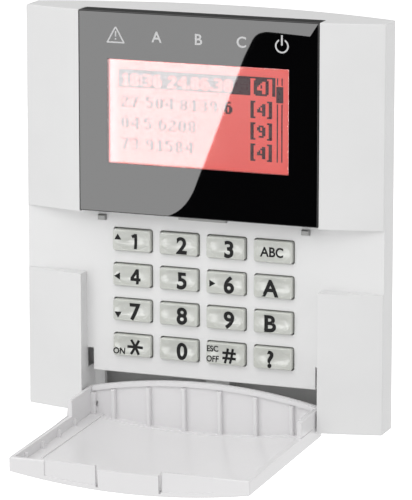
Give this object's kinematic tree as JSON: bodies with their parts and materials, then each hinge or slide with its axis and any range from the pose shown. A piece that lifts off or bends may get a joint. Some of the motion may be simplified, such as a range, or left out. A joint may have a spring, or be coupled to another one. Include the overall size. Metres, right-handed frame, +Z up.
{
  "type": "alarm keypad panel",
  "caption": "Wall-mounted alarm keypad panel: lens-shaped housing with a black display block, a grid of raised push keys and a hinged lid that folds down in front of them.",
  "frame": {"origin": "centre of the flat wall face at the back of the rear base", "axes": "+Y into the wall, +Z up, +X to the right as seen from the front"},
  "size_m": [0.12, 0.0856, 0.1383],
  "materials": {
    "cover_white": "fine satin texture",
    "base_white": "fine satin texture",
    "lid_white": "satin",
    "bezel_black": "polished",
    "window_clear": "polished clear acrylic",
    "display_glass": "polished",
    "backlight_red": "diffusing light guide",
    "carrier_white": "satin",
    "light_pipe": "milky light guide",
    "key_grey": "satin translucent",
    "mat_silicone": "matte silicone",
    "board_green": "solder resist on glass-fibre laminate",
    "steel": "zinc plated",
    "grey_plastic": "satin",
    "black_plastic": "matte",
    "terminal_green": "satin"
  },
  "bodies": {
    "housing": {"front_cover": "cover_white", "rear_base": "base_white", "display_bezel": "bezel_black", "display_window": "window_clear", "lcd_panel": "display_glass", "lcd_backlight": "backlight_red", "lcd_carrier": "carrier_white", "lcd_connector": "black_plastic", "key_mat": "mat_silicone", "main_board": "board_green", "terminal_block": "terminal_green", "buzzer": "black_plastic", "tamper_switch": "black_plastic", "latch_bar": "grey_plastic", "light_tab_left": "grey_plastic", "light_tab_right": "grey_plastic", "case_screw": "steel", "lid_hinge_pin_left": "steel", "lid_hinge_pin_right": "steel", "icon_light_alert": "light_pipe", "icon_light_a": "light_pipe", "icon_light_b": "light_pipe", "icon_light_c": "light_pipe", "icon_light_power": "light_pipe", "board_screw_1": "steel", "terminal_screw_1": "steel", "board_screw_2": "steel", "terminal_screw_2": "steel", "board_screw_3": "steel", "terminal_screw_3": "steel", "board_screw_4": "steel", "terminal_screw_4": "steel"},
    "lid": {"lid": "lid_white"},
    "tamper_plunger": {"tamper_plunger": "grey_plastic"},
    "key_1": {"key_1": "key_grey"},
    "key_2": {"key_2": "key_grey"},
    "key_3": {"key_3": "key_grey"},
    "key_abc": {"key_abc": "key_grey"},
    "key_4": {"key_4": "key_grey"},
    "key_5": {"key_5": "key_grey"},
    "key_6": {"key_6": "key_grey"},
    "key_a": {"key_a": "key_grey"},
    "key_7": {"key_7": "key_grey"},
    "key_8": {"key_8": "key_grey"},
    "key_9": {"key_9": "key_grey"},
    "key_b": {"key_b": "key_grey"},
    "key_star": {"key_star": "key_grey"},
    "key_0": {"key_0": "key_grey"},
    "key_hash": {"key_hash": "key_grey"},
    "key_help": {"key_help": "key_grey"}
  },
  "joints": [
    {"name": "lid_hinge", "type": "hinge", "parent": "housing", "child": "lid", "pos_m": [0, -0.0221, -0.0632], "axis": [-1, 0, 0], "range_deg": [0, 92]},
    {"name": "tamper_press", "type": "slide", "parent": "housing", "child": "tamper_plunger", "axis": [0, -1, 0], "range_m": [0, 0.0012], "stiffness_N_per_m": 300},
    {"name": "key_1_press", "type": "slide", "parent": "housing", "child": "key_1", "axis": [0, 1, 0], "range_m": [0, 0.0008], "stiffness_N_per_m": 900},
    {"name": "key_2_press", "type": "slide", "parent": "housing", "child": "key_2", "axis": [0, 1, 0], "range_m": [0, 0.0008], "stiffness_N_per_m": 900},
    {"name": "key_3_press", "type": "slide", "parent": "housing", "child": "key_3", "axis": [0, 1, 0], "range_m": [0, 0.0008], "stiffness_N_per_m": 900},
    {"name": "key_abc_press", "type": "slide", "parent": "housing", "child": "key_abc", "axis": [0, 1, 0], "range_m": [0, 0.0008], "stiffness_N_per_m": 900},
    {"name": "key_4_press", "type": "slide", "parent": "housing", "child": "key_4", "axis": [0, 1, 0], "range_m": [0, 0.0008], "stiffness_N_per_m": 900},
    {"name": "key_5_press", "type": "slide", "parent": "housing", "child": "key_5", "axis": [0, 1, 0], "range_m": [0, 0.0008], "stiffness_N_per_m": 900},
    {"name": "key_6_press", "type": "slide", "parent": "housing", "child": "key_6", "axis": [0, 1, 0], "range_m": [0, 0.0008], "stiffness_N_per_m": 900},
    {"name": "key_a_press", "type": "slide", "parent": "housing", "child": "key_a", "axis": [0, 1, 0], "range_m": [0, 0.0008], "stiffness_N_per_m": 900},
    {"name": "key_7_press", "type": "slide", "parent": "housing", "child": "key_7", "axis": [0, 1, 0], "range_m": [0, 0.0008], "stiffness_N_per_m": 900},
    {"name": "key_8_press", "type": "slide", "parent": "housing", "child": "key_8", "axis": [0, 1, 0], "range_m": [0, 0.0008], "stiffness_N_per_m": 900},
    {"name": "key_9_press", "type": "slide", "parent": "housing", "child": "key_9", "axis": [0, 1, 0], "range_m": [0, 0.0008], "stiffness_N_per_m": 900},
    {"name": "key_b_press", "type": "slide", "parent": "housing", "child": "key_b", "axis": [0, 1, 0], "range_m": [0, 0.0008], "stiffness_N_per_m": 900},
    {"name": "key_star_press", "type": "slide", "parent": "housing", "child": "key_star", "axis": [0, 1, 0], "range_m": [0, 0.0008], "stiffness_N_per_m": 900},
    {"name": "key_0_press", "type": "slide", "parent": "housing", "child": "key_0", "axis": [0, 1, 0], "range_m": [0, 0.0008], "stiffness_N_per_m": 900},
    {"name": "key_hash_press", "type": "slide", "parent": "housing", "child": "key_hash", "axis": [0, 1, 0], "range_m": [0, 0.0008], "stiffness_N_per_m": 900},
    {"name": "key_help_press", "type": "slide", "parent": "housing", "child": "key_help", "axis": [0, 1, 0], "range_m": [0, 0.0008], "stiffness_N_per_m": 900}
  ]
}
